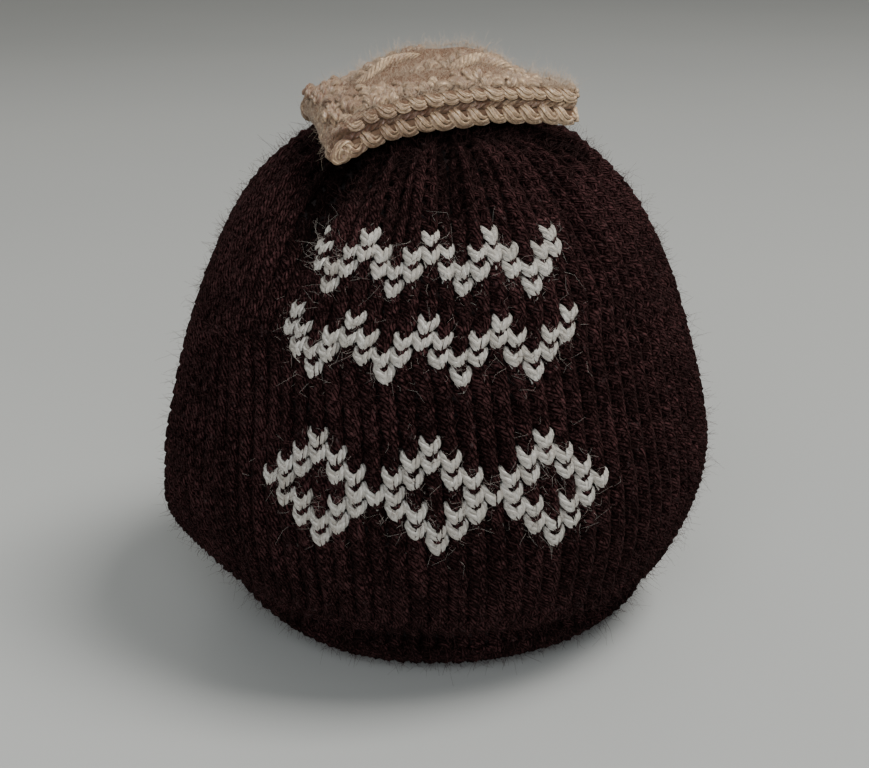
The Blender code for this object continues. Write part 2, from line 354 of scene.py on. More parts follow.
def sheet_object(name, outer, inner, material):
    """A closed sheet from two grids of points: both faces and the four rims between them."""
    rows, columns = outer.shape[:2]
    a = np.arange(rows * columns).reshape(rows, columns)
    b = a + rows * columns

    def strip(*corners):
        return np.stack([c.ravel() for c in corners], 1)

    faces = np.concatenate(
        [
            strip(a[:-1, :-1], a[:-1, 1:], a[1:, 1:], a[1:, :-1]),
            strip(b[:-1, :-1], b[1:, :-1], b[1:, 1:], b[:-1, 1:]),
            strip(a[0, :-1], b[0, :-1], b[0, 1:], a[0, 1:]),
            strip(a[-1, :-1], a[-1, 1:], b[-1, 1:], b[-1, :-1]),
            strip(a[:-1, 0], a[1:, 0], b[1:, 0], b[:-1, 0]),
            strip(a[:-1, -1], b[:-1, -1], b[1:, -1], a[1:, -1]),
        ]
    )
    points = np.concatenate([outer.reshape(-1, 3), inner.reshape(-1, 3)])
    p, q, r, s = (points[faces[:, k]] for k in range(4))
    if (np.cross(p, q) * r).sum() + (np.cross(p, r) * s).sum() < 0:
        faces = faces[:, ::-1]
    return mesh_object(name, points, [faces], material)


def cloth_material(name, roughness, grain, dark, light):
    """Rough plain cloth: noise of the given grain mixes its two colours and dents its surface."""
    material, tree, shader = principled(name, roughness)
    cells = node(tree, "ShaderNodeTexNoise", {"Scale": grain, "Detail": 3.0})
    shade = node(tree, "ShaderNodeMix", {6: (*dark, 1), 7: (*light, 1)}, data_type="RGBA")
    dent = node(tree, "ShaderNodeBump", {"Strength": 0.6, "Distance": 0.001})
    tree.links.new(node(tree, "ShaderNodeTexCoord").outputs["Object"], cells.inputs["Vector"])
    tree.links.new(cells.outputs["Fac"], shade.inputs[0])
    tree.links.new(cells.outputs["Fac"], dent.inputs["Height"])
    tree.links.new(shade.outputs[2], shader.inputs["Base Color"])
    tree.links.new(dent.outputs["Normal"], shader.inputs["Normal"])
    return material


# Painted shade: the backing is coloured darker than the yarn, for the shaded depth between the loops.
backing = cloth_material("backing", 0.95, 900.0, (0.004, 0.0022, 0.0022), (0.016, 0.009, 0.009))


def cloth_backing(name, back):
    """The sheet behind the loops: 1.2 mm thick, just behind the middle of the cloth's depth."""
    column, up = np.meshgrid(np.linspace(0, PANEL_COLUMNS, 78), np.linspace(0, UP_LENGTH, 60))
    up = np.where(up < 1, 1.0, up)
    outer, inner = (panel_point(back, column, up, np.full_like(up, out))[0] for out in (-0.3, -1.5))
    seam = SEAM_GAP / 2 if back else -SEAM_GAP / 2
    for grid in (outer, inner):
        grid[..., 2] = np.maximum(grid[..., 2], 0.3)
        for edge in (0, -1):
            grid[:, edge, 1] = np.where(np.abs(grid[:, edge, 1]) < 0.8, seam, grid[:, edge, 1])
    return sheet_object(name, outer, inner, backing)


front_cloth = cloth_backing("front_cloth", False)
back_cloth = cloth_backing("back_cloth", True)
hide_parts("front_panel")
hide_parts("back_panel")

# The stockinette. Every row is one continuous strand of thick plied yarn in dark brown, looped through the
# row below, so that its two legs show on the right side as a V. Fifteen rows to 66 mm, hand-knitted, so the
# loops vary a little in size and lean.


def strand_axes(paths, facing):
    """Unit vectors sideways and outward from each path, and the length along it."""
    along = unit(np.gradient(paths, axis=1))
    sideways = unit(np.cross(along, facing))
    length = np.cumsum(np.linalg.norm(np.diff(paths, axis=1, prepend=paths[:, :1]), axis=-1), axis=1)
    return sideways, np.cross(sideways, along), length


def tube_object(name, paths, radius, facing, material, sides=6, tone=None, plies=6, lay=8.4, floor_at=None):
    """Rings round each path: centre + radius (cos turn * sideways + sin turn * outward), closed at both ends.

    The UV map's first value winds round the strand like its plies, and the second runs along it in mm.
    """
    sideways, outward, length = strand_axes(paths, facing)
    radius = np.broadcast_to(radius, paths.shape[:2])
    turn = 2 * np.pi * np.arange(sides) / sides
    ring = np.cos(turn)[:, None] * sideways[:, :, None] + np.sin(turn)[:, None] * outward[:, :, None]
    points = paths[:, :, None] + radius[:, :, None, None] * ring
    if floor_at is not None:
        points[..., 2] = np.maximum(points[..., 2], floor_at)
    strands, steps = paths.shape[:2]
    index = np.arange(strands * steps * sides).reshape(strands, steps, sides)
    after = np.roll(index, -1, axis=2)
    quads = np.stack([index[:, :-1], index[:, 1:], after[:, 1:], after[:, :-1]], -1)
    caps = np.concatenate([index[:, 0], index[:, -1, ::-1]])
    length = length[:, :, None] + 0 * turn
    round_now = np.broadcast_to(np.arange(sides) / sides, length.shape)
    wind = plies * (round_now - length / lay)
    wind_after = wind + plies / sides
    uv = np.stack(
        [
            np.stack([wind[:, :-1], wind[:, 1:], wind_after[:, 1:], wind_after[:, :-1]], -1),
            np.stack([length[:, :-1], length[:, 1:], length[:, 1:], length[:, :-1]], -1),
        ],
        -1,
    ).reshape(-1, 2)
    uv = np.concatenate([uv, np.zeros((caps.size, 2))])
    if tone is not None:
        tone = np.repeat(np.broadcast_to(tone, paths.shape[:2])[..., None], sides, axis=2).ravel()
    return mesh_object(name, points.reshape(-1, 3), [quads.reshape(-1, 4), caps], material, uv, tone)


def yarn_material(
    name, dark, light, stray, sheen, groove_depth_and_shade, roughness, specular, felting, fine=1.6, loose=0.4
):
    """Plied yarn: tone from stitch to stitch, soft grooves between the plies, and fibres along them, which are
    closer together the higher fine is. The grooves are dented and painted darker, as painted shade, and the
    crests of the plies painted lighter, as a painted highlight, the more so the deeper the plies. Loose is how far
    the plies wander, in plies. Sheen is its weight, then its tint.
    """
    material, tree, shader = principled(
        name, roughness, Sheen_Weight=sheen[0], Sheen_Roughness=0.55, Sheen_Tint=(*sheen[1:], 1)
    )
    shader.inputs["Specular IOR Level"].default_value = specular
    strand = node(tree, "ShaderNodeUVMap", uv_map="yarn")
    parts = node(tree, "ShaderNodeSeparateXYZ")
    wind = node(tree, "ShaderNodeMath", {1: 2 * np.pi}, operation="MULTIPLY")
    groove = node(tree, "ShaderNodeMath", operation="COSINE")
    deep = node(tree, "ShaderNodeMapRange", {1: -1.0, 2: 1.0, 3: 0.0, 4: 1.0})
    tree.links.new(strand.outputs["UV"], parts.inputs[0])
    tree.links.new(groove.outputs[0], deep.inputs[0])
    # Fibres: noise drawn out along each ply. They are painted lighter on the ply's crest, as a painted highlight,
    # and darker in the grooves, as painted shade.
    comb = node(tree, "ShaderNodeMapping", {"Scale": (fine, 0.2, 1.0)})
    fibre = node(tree, "ShaderNodeTexNoise", {"Scale": 3.0, "Detail": 3.0, "Roughness": 0.7})
    strands = node(tree, "ShaderNodeMapRange", {1: 0.36, 2: 0.66, 3: 0.0, 4: 0.8})
    tree.links.new(strand.outputs["UV"], comb.inputs["Vector"])
    tree.links.new(comb.outputs["Vector"], fibre.inputs["Vector"])
    tree.links.new(fibre.outputs["Fac"], strands.inputs[0])
    # The plies wander a little.
    wander = node(tree, "ShaderNodeMath", {1: loose}, operation="MULTIPLY_ADD")
    tree.links.new(fibre.outputs["Fac"], wander.inputs[0])
    tree.links.new(parts.outputs["X"], wander.inputs[2])
    tree.links.new(wander.outputs[0], wind.inputs[0])
    tree.links.new(wind.outputs[0], groove.inputs[0])
    tone = node(tree, "ShaderNodeAttribute", attribute_name="tone")
    mixed = node(tree, "ShaderNodeMath", operation="ADD")
    tree.links.new(strands.outputs[0], mixed.inputs[0])
    tree.links.new(tone.outputs["Fac"], mixed.inputs[1])
    # Painted shade in the grooves between the plies and a painted highlight on their crests.
    crest = node(tree, "ShaderNodeMapRange", {1: 0.08, 2: 0.85, 3: 1.0 - groove_depth_and_shade, 4: 1.0})
    lit = node(tree, "ShaderNodeMath", operation="MULTIPLY", use_clamp=True)
    shade = node(tree, "ShaderNodeMix", {6: (*dark, 1), 7: (*light, 1)}, data_type="RGBA")
    # Matted fibres break up the plies.
    place = node(tree, "ShaderNodeTexCoord")
    felt = node(tree, "ShaderNodeTexNoise", {"Scale": 800.0, "Detail": 4.0, "Roughness": 0.7})
    matted = node(tree, "ShaderNodeMapRange", {1: 0.42, 2: 0.58, 3: 1.0 - felting, 4: 1.0 + 0.35 * felting})
    broken = node(tree, "ShaderNodeMath", operation="MULTIPLY")
    tree.links.new(place.outputs["Object"], felt.inputs["Vector"])
    tree.links.new(felt.outputs["Fac"], matted.inputs[0])
    tree.links.new(deep.outputs[0], crest.inputs[0])
    tree.links.new(crest.outputs[0], broken.inputs[0])
    tree.links.new(matted.outputs[0], broken.inputs[1])
    tree.links.new(mixed.outputs[0], lit.inputs[0])
    tree.links.new(broken.outputs[0], lit.inputs[1])
    tree.links.new(lit.outputs[0], shade.inputs[0])
    # A few pale stray fibres lying over the yarn.
    speck = node(tree, "ShaderNodeTexNoise", {"Scale": 420.0, "Detail": 5.0, "Roughness": 0.7})
    spare = node(tree, "ShaderNodeMapRange", {1: 0.62, 2: 0.74, 3: 0.0, 4: 0.55})
    last = node(tree, "ShaderNodeMix", {7: (*stray, 1)}, data_type="RGBA")
    tree.links.new(place.outputs["Object"], speck.inputs["Vector"])
    tree.links.new(speck.outputs["Fac"], spare.inputs[0])
    tree.links.new(spare.outputs[0], last.inputs[0])
    tree.links.new(shade.outputs[2], last.inputs[6])
    tree.links.new(last.outputs[2], shader.inputs["Base Color"])
    # The grooves and the fibres in relief.
    relief = node(tree, "ShaderNodeMath", {1: 0.5}, operation="MULTIPLY_ADD")
    rise = node(tree, "ShaderNodeBump", {"Strength": 0.9, "Distance": 0.0006})
    tree.links.new(fibre.outputs["Fac"], relief.inputs[0])
    tree.links.new(broken.outputs[0], relief.inputs[2])
    tree.links.new(relief.outputs[0], rise.inputs["Height"])
    tree.links.new(rise.outputs["Normal"], shader.inputs["Normal"])
    return material


brown_yarn = yarn_material(
    "brown_yarn",
    dark=(0.0016, 0.0002, 0.0002),
    light=(0.082, 0.0335, 0.034),
    stray=(0.13, 0.085, 0.085),
    sheen=(0.05, 0.5, 0.3, 0.28),
    groove_depth_and_shade=1.0,
    roughness=0.9,
    specular=0.02,
    felting=0.9,
    fine=0.5,
    loose=1.6,
)

ROW_HEIGHT = 4.4
HEM_TOP = 19.5  # length up the cloth where the garter hem ends
LOOP_WIDEN = 0.27  # how far each leg swings from the neck of its loop to the head, in stitches
LEG_CLOSE = 0.05  # how much nearer the middle of the stitch each leg stands, in stitches
LOOP_REACH = 0.96  # half the loop's height, in rows
LOOP_DEPTH = 0.95  # how far the legs stand forward of the loop's ends, in mm
LEG_SKEW = 0.1  # how far the left leg of each V stands in front of the right one, in mm
LEAN = 0.12  # how far the head of each loop leans to the left and its feet to the right, in stitches
RIB = 1.15  # how far the middle of each column of stitches stands out from its edges, in mm
RIB_PHASE = 0.08  # where the edge of a column is, in stitches
body_rows = int((UP_LENGTH - 6 - HEM_TOP) / ROW_HEIGHT)


def smooth_noise(rng, rows, columns, spread):
    """Random values on a grid, softened with their neighbours."""
    raw = rng.normal(0, spread, (rows + 2, columns + 2))
    return (raw[:-2, 1:-1] + raw[2:, 1:-1] + raw[1:-1, :-2] + raw[1:-1, 2:] + 2 * raw[1:-1, 1:-1]) / 2.8


def knit_rows(back, row_ups, row_heights, faces, seed, steps=12, radius=1.24):
    """Loops of each row. With t in stitches: column = t + w sin 4 pi t + g sin 2 pi t + lean cos 2 pi t,
    up = row - reach cos 2 pi t and out = depth tanh(-2 cos 4 pi t) - rib cos 2 pi column, turned round on a purl
    row. Each loop has its own small shift and size.
    """
    rng = np.random.default_rng(seed)
    rows = len(row_ups)
    t = np.linspace(0, PANEL_COLUMNS, PANEL_COLUMNS * steps + 1)
    at = np.minimum(t.astype(int), PANEL_COLUMNS - 1)
    inside = np.sin(np.pi * (t - at)) ** 2
    shift, lean, size, tone = (smooth_noise(rng, rows, PANEL_COLUMNS, s)[:, at] for s in (0.06, 0.08, 0.08, 0.3))
    row_ups, row_heights, faces = (np.asarray(v, float)[:, None] for v in (row_ups, row_heights, faces))
    column = t + LOOP_WIDEN * np.sin(4 * np.pi * t) + LEG_CLOSE * np.sin(2 * np.pi * t) + inside * shift
    column = column + LEAN * np.cos(2 * np.pi * t) * np.minimum(1, np.minimum(t, PANEL_COLUMNS - t))
    up = row_ups - LOOP_REACH * row_heights * (1 + size * inside) * np.cos(2 * np.pi * t) + lean * inside
    legs = np.tanh(-2.0 * np.cos(4 * np.pi * t)) / np.tanh(2.0)
    rib = np.cos(2 * np.pi * (column - RIB_PHASE))
    out = faces * (LOOP_DEPTH * legs + 0.2 - RIB * rib + LEG_SKEW * np.sin(2 * np.pi * t))
    side = profile_at(up)[1]
    thick = radius * np.clip(side / 60, 0.62, 1.0) * (1 + 0.8 * size) * (1 + 0.06 * np.sin(2 * np.pi * t))
    paths, facing = panel_point(back, column, np.clip(up, 0.2, UP_LENGTH - 0.2), out + 0 * up)
    # Painted shade: darker under the cap, over the hem's valley, between the columns and in the creases. Painted
    # light: lighter towards the top.
    painted_shading = 0.9 * cap_near(paths) - 0.27 * fade(up, 105, 150) + 0.35 * bump(up - VALLEY[0] - 4, 4)
    painted_shading = painted_shading + 0.2 * rib
    painted_shading = painted_shading + 0.07 * crease(panel_azimuth(back, column, up), up)
    return paths, facing, thick, np.clip(0.2 + tone, 0, 1) - painted_shading


def add_stockinette(name, back, first, last, seed, steps=12):
    """Plain rows of one panel, from the first to before the last, counted up from the hem."""
    rows = np.arange(first, last)
    middle = HEM_TOP + (rows + 0.5) * ROW_HEIGHT
    paths, facing, thick, tone = knit_rows(back, middle, 0 * middle + ROW_HEIGHT, 0 * middle + 1, seed, steps)
    return tube_object(name, paths, thick, facing, brown_yarn, 5, tone)


half_rows = body_rows // 2
front_loops = [
    add_stockinette("front_loops_low", False, 0, half_rows, 3),
    add_stockinette("front_loops_high", False, half_rows, body_rows, 4),
]
back_loops = [
    add_stockinette("back_loops_low", True, 0, half_rows, 5, 8),
    add_stockinette("back_loops_high", True, half_rows, body_rows, 6, 8),
]

# The hem. Six short rows of garter stitch in the same yarn: every second row is purled, so its loops stand
# forward and make three soft ridges that keep the edge from curling.

hem_ups = 2.2 + np.arange(6) * 2.95
hem_faces = np.array([-1, 1, -1, 1, -1, 1])
for back, loops, name, seed in ((False, front_loops, "front_hem", 11), (True, back_loops, "back_hem", 12)):
    paths, facing, thick, tone = knit_rows(back, hem_ups, 0 * hem_ups + 3.1, hem_faces, seed, 10, 1.3)
    loops.append(tube_object(name, paths, thick, facing, brown_yarn, 5, tone, floor_at=0.02))

# The motif. Cream yarn of the same weight is worked over the finished front, one V on top of each chosen
# stitch. It is a plain pair of zigzags above a chain of lozenges.

cream_yarn = yarn_material(
    "cream_yarn",
    dark=(0.27, 0.235, 0.19),
    light=(0.82, 0.80, 0.745),
    stray=(0.85, 0.83, 0.78),
    sheen=(0.25, 0.9, 0.88, 0.85),
    groove_depth_and_shade=0.6,
    roughness=0.6,
    specular=0.3,
    felting=0.4,
)
UPPER_BAND = """
x...x...x...x...x
xx.xxx.xxx.xxx.xx
.xxx.xxx.xxx.xxx.
..x...x...x...x..
.................
x...x...x...x...x
xx.xxx.xxx.xxx.xx
.xxx.xxx.xxx.xxx.
..x...x...x...x..
"""
LOWER_BAND = """
...x.....x.....x...
..xxx...xxx...xxx..
.xx.xx.xx.xx.xx.xx.
xx...xxx...xxx...xx
.xx.xx.xx.xx.xx.xx.
..xxx...xxx...xxx..
...x.....x.....x...
"""


def plied_object(name, paths, radius, facing, material, tone, start, plies=4, lay=9.0, sides=5, flat=1.0):
    """Yarn thick enough to show its plies: thin tubes wound round each path, like an S for a lay above 0 and
    like a Z below it. Flat is the height of the bundle as a share of its width. A ply is painted darker as it goes
    under, as painted shade.
    """
    sideways, outward, length = strand_axes(paths, facing)
    turn = 2 * np.pi * (np.arange(plies)[:, None, None] / plies + length / lay + start)
    around = np.cos(turn)[..., None] * sideways + flat * np.sin(turn)[..., None] * outward
    radius = np.broadcast_to(radius, paths.shape[:2])
    strands = paths + (0.54 + 0.012 * plies) * radius[..., None] * around
    strands = strands.reshape(-1, *paths.shape[1:])
    thick = np.tile((2.0 / (plies + 0.4)) * radius * np.sqrt(flat), (plies, 1))
    facing = np.tile(facing, (plies, 1, 1))
    # Painted shade and highlight: each ply darker where it turns under and a little lighter on top.
    tone = (tone - 0.24 * (0.7 - np.sin(turn))).reshape(-1, paths.shape[1])
    return tube_object(name, strands, thick, facing, material, sides, tone, 2, 40.0)


def worked_stitches(drawing, left_column, top_row):
    """Column and row of every x in a drawing, which is read from its top row down."""
    marks = np.array([list(line) for line in drawing.split()]) == "x"
    rows, columns = np.nonzero(marks)
    return columns + left_column, top_row - rows


upper = worked_stitches(UPPER_BAND, 13, 27)
lower = worked_stitches(LOWER_BAND, 12, 15)
columns = np.concatenate([upper[0], lower[0]])[:, None]
rows = np.concatenate([upper[1], lower[1]])[:, None]
rng = np.random.default_rng(21)
size = rng.normal(1, 0.05, (1, len(rows), 1))
leg = np.linspace(0, 1, 12)
t = np.array([0.1, 0.6])[:, None, None] + 0.3 * leg
column = columns + t + LOOP_WIDEN * 1.22 * np.sin(4 * np.pi * t) + (LEG_CLOSE + 0.03) * np.sin(2 * np.pi * t)
column = column + rng.normal(0, 0.02, size.shape)
up = HEM_TOP + (rows + 0.5 - (0.92 * size) * np.cos(2 * np.pi * t) + rng.normal(0, 0.05, size.shape)) * ROW_HEIGHT
out = -1.3 * np.cos(4 * np.pi * t) + 0.9 + 0 * up
column, up, out = (v.reshape(-1, len(leg)) for v in (column, up, out))
paths, facing = panel_point(False, column, up, out)
thick = 1.32 * np.tile(size[0], (2, 1)) * (0.4 + 0.6 * np.sin(np.pi * leg**0.85).clip(0) ** 0.6)
tone = 0.4 + rng.normal(0, 0.12, (len(column), 1)) + 0 * leg
start = rng.uniform(0, 1, (len(column), 1))
front_loops.append(plied_object("motif", paths, thick, facing, cream_yarn, tone, start, sides=4))

# The cap. A small beige garter-stitch strip folded round at its left end lies on top, turned a little, and its
# front edges show thick slanting stitches. The same glossy plied yarn makes all of it.

CAP_CLEAR = 1.1  # how far it stands off the cosy's top
CAP_LAYER = 4.5  # how thick each of its two layers is
CAP_GAP = 0.8  # between the layers
CAP_HEIGHT = 2 * CAP_LAYER + CAP_GAP
CAP_PEAK_LIFT = 3.0  # how much further the right-hand end stands off
LOBES = np.array(
    [
        # along, across, long, wide, height, turn
        (0, 5, 20, 12, 3.7, 4),
        (-12.5, 2.5, 12, 3, 2.0, 9),
        (9.5, 1.5, 10, 3.2, 2.2, -8),
        (-12, -2.8, 11, 2.8, -1.7, 5),
        (1.5, -1.5, 3, 4.5, -1.5, 0),
        (5, 9.5, 8, 3, -1.5, 0),
    ]
)
CROWN_PLAN = (-2.0, 1.8, 24.0, 13.4)  # middle and half-axes of its ellipse
CROWN_RIM = 1.2  # how far it stands above its floor, without the lobes

beige_yarn = yarn_material(
    "beige_yarn",
    dark=(0.115, 0.04, 0.016),
    light=(1.0, 0.725, 0.455),
    stray=(0.97, 0.84, 0.68),
    sheen=(0.35, 1.0, 0.8, 0.58),
    groove_depth_and_shade=0.75,
    roughness=0.3,
    specular=0.8,
    felting=0.5,
)
# Painted shade: the cap's cloth, seen between its stitches and in the crown's smooth hollows, is coloured much
# darker than the yarn.
shaded_beige_cloth = cloth_material("shaded_beige_cloth", 0.9, 700.0, (0.11, 0.055, 0.03), (0.23, 0.14, 0.085))
TOP_RADIUS, TOP_HEIGHT = PROFILE[::-1, 1], PROFILE[::-1, 0]


def to_cosy(along, across, above):
    """Cap points to the cosy's frame: the cap follows the round top, and its peak stands off it."""
    turn = np.radians(CAP_TURN)
    x = along * np.cos(turn) - across * np.sin(turn) + CAP_AT[0]
    y = along * np.sin(turn) + across * np.cos(turn) + CAP_AT[1]
    off = CAP_PEAK_LIFT * np.clip((along + 30) / 66, 0, 1) ** 1.8
    top = np.interp(np.hypot(x, y / DEPTH), TOP_RADIUS, TOP_HEIGHT)
    return np.stack([x, y, top + CAP_CLEAR + off + above], -1)


def band_line():
    """The middle line of the folded strip from the lower right end round the fold: along, above, facing."""
    half = CAP_HEIGHT / 2
    bend = half - 0.2
    straight = np.linspace(CAP_HALF, -CAP_HALF + bend, 40)
    a = np.radians(np.linspace(-90, 90, 15)[1:-1])
    reach = half - CAP_LAYER / 2
    lower = np.stack([straight, 0 * straight + CAP_LAYER / 2, 0 * straight, 0 * straight - 1], 1)
    fold = np.stack(
        [-CAP_HALF + bend - (bend - CAP_LAYER / 2) * np.cos(a), half + reach * np.sin(a), -np.cos(a), np.sin(a)], 1
    )
    upper = np.stack([straight[::-1], 0 * straight + 2 * half - CAP_LAYER / 2, 0 * straight, 0 * straight + 1], 1)
    line = np.concatenate([lower, fold, upper])
    length = np.cumsum(np.hypot(*np.diff(line[:, :2], axis=0, prepend=line[:1, :2]).T))
    return np.column_stack([line, length])


BAND = band_line()
BAND_LENGTH = BAND[-1, 4]


def band_point(length, back, out):
    """A place on the strip: length round it, back in mm from its front edge, and out from its middle layer."""
    along, above, face_x, face_z = (np.interp(length, BAND[:, 4], BAND[:, k]) for k in range(4))
    front = cap_edges(along)[0]
    size = np.hypot(face_x, face_z)
    face_x, face_z = face_x / size, face_z / size
    point = to_cosy(along + out * face_x, front + back, above + out * face_z)
    facing = to_cosy(along + (out + 1) * face_x, front + back, above + (out + 1) * face_z) - point
    return point, unit(facing)


def band_width(length):
    """The strip's width where it has been followed for this length."""
    front, rear = cap_edges(np.interp(length, BAND[:, 4], BAND[:, 0]))
    return rear - front


length, share = np.meshgrid(BAND[:, 4], np.linspace(0, 1, 21), indexing="ij")
back = 0.9 + share * (band_width(length) - 1.8)
outer, inner = (band_point(length, back, 0 * back + out)[0] for out in (1.3, -1.3))
cap_cloth = sheet_object("cap_cloth", outer, inner, shaded_beige_cloth)
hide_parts("cap_band")

# The crown is the cap's gathered top: a soft swelling with hollows, rising out of the strip. Its surface is the
# darker cloth, painted shade, which shows in the smooth hollows.
CROWN_FLOOR = CAP_HEIGHT + 0.45


def crown_rise(along, across, lobes=LOBES):
    """The sum of the lobes, each a bell over its own turned ellipse."""
    rise = 0 * along
    for x, y, long, wide, height, turn in lobes:
        a = np.radians(turn)
        u = (along - x) * np.cos(a) + (across - y) * np.sin(a)
        v = (across - y) * np.cos(a) - (along - x) * np.sin(a)
        rise = rise + height * np.exp(-((u / long) ** 2) - (v / wide) ** 2)
    return rise


# Smooth folds of the crown, with no bumps: along the front of its left half, on top, and under the two crests.
SMOOTH_FOLDS = np.array(
    [(-10.5, -6.9, 14.5, 3.3, -1, -11), (5, 3, 8.5, 3.4, -1, 0), (-14, 0, 12, 2.6, -1, 8), (12, -4, 12, 3.2, -1, 8)]
)


def cap_top(along, across):
    """Upper face of the whole cap: the strip, and the crown fading into it towards its rim."""
    cx, cy, half_x, half_y = CROWN_PLAN
    ring = np.hypot((along - cx) / half_x, (across - cy) / half_y)
    rise = crown_rise(along, across) + 1.1 * crown_rise(along, across, SMOOTH_FOLDS[:1])
    crown = CROWN_FLOOR + (CROWN_RIM + rise) * (1 - np.minimum(ring, 1) ** 4)
    return crown + (CAP_HEIGHT - crown) * fade(ring, 0.9, 1.02)


rings, spokes = 40, 96
cx, cy, half_x, half_y = CROWN_PLAN
ring = np.linspace(0, 1, rings + 1)[1:] ** 0.85
spoke = np.linspace(0, 2 * np.pi, spokes, endpoint=False)
x, y = cx + half_x * np.outer(ring, np.cos(spoke)), cy + half_y * np.outer(ring, np.sin(spoke))
top = to_cosy(x, y, cap_top(x, y)).reshape(-1, 3)
under = to_cosy(x, y, CROWN_FLOOR - 1.5 + 0 * x).reshape(-1, 3)
middle_top = cap_top(np.array(cx), np.array(cy))
ends = to_cosy(np.array([cx, cx]), np.array([cy, cy]), np.array([middle_top, CROWN_FLOOR - 1.5]))
grid = np.arange(rings * spokes).reshape(rings, spokes)
after = np.roll(grid, -1, axis=1)
below = rings * spokes
quads = np.stack([grid[:-1], grid[1:], after[1:], after[:-1]], -1).reshape(-1, 4)
wall = np.stack([grid[-1], grid[-1] + below, after[-1] + below, after[-1]], -1)
fan = np.stack([grid[0], after[0], 0 * grid[0] + 2 * below], -1)
under_fan = np.stack([after[0] + below, grid[0] + below, 0 * grid[0] + 2 * below + 1], -1)
faces = [quads, quads[:, ::-1] + below, wall, fan, under_fan]
crown = mesh_object("cap_crown_top", np.concatenate([top, under, ends]), faces, shaded_beige_cloth)
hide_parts("cap_crown")

# Garter bumps: short arcs of yarn standing out of the cloth. On the fold they run up the strip, and on top they
# lie every way, leaving the hollows of the crown smooth.
rng = np.random.default_rng(31)
FOLD_START = 62.5  # how far along the strip the bumps on the fold begin
t = np.linspace(-1, 1, 8)
number, row = np.meshgrid(np.arange(5), np.arange(13), indexing="ij")
number, row = number.ravel()[:, None], row.ravel()[:, None]
length = FOLD_START + 4.0 * (number + 0.5 * (row % 2)) + rng.normal(0, 0.4, row.shape) + 2.8 * t
back = 1.6 + 2.75 * row + rng.normal(0, 0.3, row.shape) + 0.7 * rng.normal(0, 1, row.shape) * t
fold_paths, fold_facing = band_point(length, back, 0.8 + 0.6 * (1 - t**2))
column, row = np.meshgrid(np.arange(19), np.arange(15), indexing="ij")
along = (-34 + 3.9 * (column + 0.5 * (row % 2))).ravel() + rng.normal(0, 0.7, column.size)
across = (-20.5 + 2.8 * row).ravel() + rng.normal(0, 0.5, column.size)
front, rear = cap_edges(along)
on_crown = np.hypot((along - cx) / half_x, (across - cy) / half_y) < 1
keep = ((across > front + 2.6) & (across < rear - 2.0) & (along < 25)) | on_crown
keep &= crown_rise(along, across, SMOOTH_FOLDS) > -0.5
along, across = along[keep, None], across[keep, None]
way = rng.normal(0.3, 1.1, along.shape)
along, across = along + 1.7 * np.cos(way) * t, across + 1.7 * np.sin(way) * t
top_paths = to_cosy(along, across, cap_top(along, across) - 0.9 + 0.9 * (1 - t**2))
top_facing = np.broadcast_to([0.0, 0.0, 1.0], top_paths.shape)
paths, facing = np.concatenate([fold_paths, top_paths]), np.concatenate([fold_facing, top_facing])
on_fold = np.arange(len(paths)) < len(fold_paths)
size = rng.normal(1, 0.1, (len(paths), 1)) * np.where(on_fold, 0.8, 1)[:, None]
# Painted shade: the bumps are darker towards the cap's left end, and darkest on the fold.
middle = np.where(on_fold, -CAP_HALF, np.mean(cap_axes(paths)[0], axis=1))[:, None]
tone = 0.3 + 0.01 * middle + rng.normal(0, 0.2, size.shape) + 0 * t
thick = 1.55 * size * (0.45 + 0.55 * np.sqrt(1 - t**2))
start = rng.uniform(0, 1, size.shape)
cap_bumps = plied_object("cap_bumps", paths, thick, facing, beige_yarn, tone, start, 3, 7.0, 4)


# The edges of both layers: thick glossy stitches, each a crescent that comes down steeply and turns to the right,
# with its end under the next one.


def edge_stitches(name, upper, at_back, begin, end, count, thick=2.2, top=4.1, drop=6.0, sweep=4.2):
    """Crescents along an edge, from swing a: sweep (0.36 - cos a) along it and top - drop sin a down its face."""
    lean = 1 if upper else -1
    middle = begin + (np.arange(count)[:, None] + 0.5) * (end - begin) / count + rng.normal(0, 0.22, (count, 1))
    size = rng.normal(1, 0.08, middle.shape)
    swing = np.radians(np.linspace(8, 106, 18))
    length = middle + lean * sweep * (0.36 - np.cos(swing)) * size
    down = (top - drop * np.sin(swing)) * size
    bend = np.clip(down / 1.7, -np.pi / 2, np.pi / 2)
    back = 2.1 - 2.0 * np.cos(bend) + np.maximum(np.abs(down) - 2.67, 0)
    out = 1.2 if upper else -1.6
    paths, up_facing = band_point(length, band_width(length) - back if at_back else back, out * np.sin(bend))
    forward = to_cosy(0 * back, back - 1, 0 * back) - to_cosy(0 * back, back, 0 * back)
    forward = -forward if at_back else forward
    facing = up_facing * lean * np.sin(bend)[..., None] + forward * np.cos(bend)[..., None]
    thickness = thick * size * (0.7 + 0.3 * np.sin(np.radians(np.linspace(0, 180, 18))) ** 0.5)
    along = np.interp(middle, BAND[:, 4], BAND[:, 0])
    # Painted shade: the stitches are darker towards the cap's left end.
    tone = 0.64 + 0.013 * along + rng.normal(0, 0.14, size.shape) + 0 * swing
    return plied_object(
        name, paths, thickness, facing, beige_yarn, tone, rng.uniform(0, 1, size.shape), 6, 20.0, 4, flat=0.75
    )


edges = [
    edge_stitches("cap_edge_lower", False, False, 1.0, 67.0, 13),
    edge_stitches("cap_edge_upper", True, False, BAND_LENGTH - 66.0, BAND_LENGTH - 1.0, 15, 1.6, 3.8, 4.0, 2.9),
    edge_stitches("cap_back_lower", False, True, 1.0, 74.0, 14),
    edge_stitches("cap_back_upper", True, True, BAND_LENGTH - 68.0, BAND_LENGTH - 1.0, 14, 1.6, 3.8, 4.0, 2.9),
]

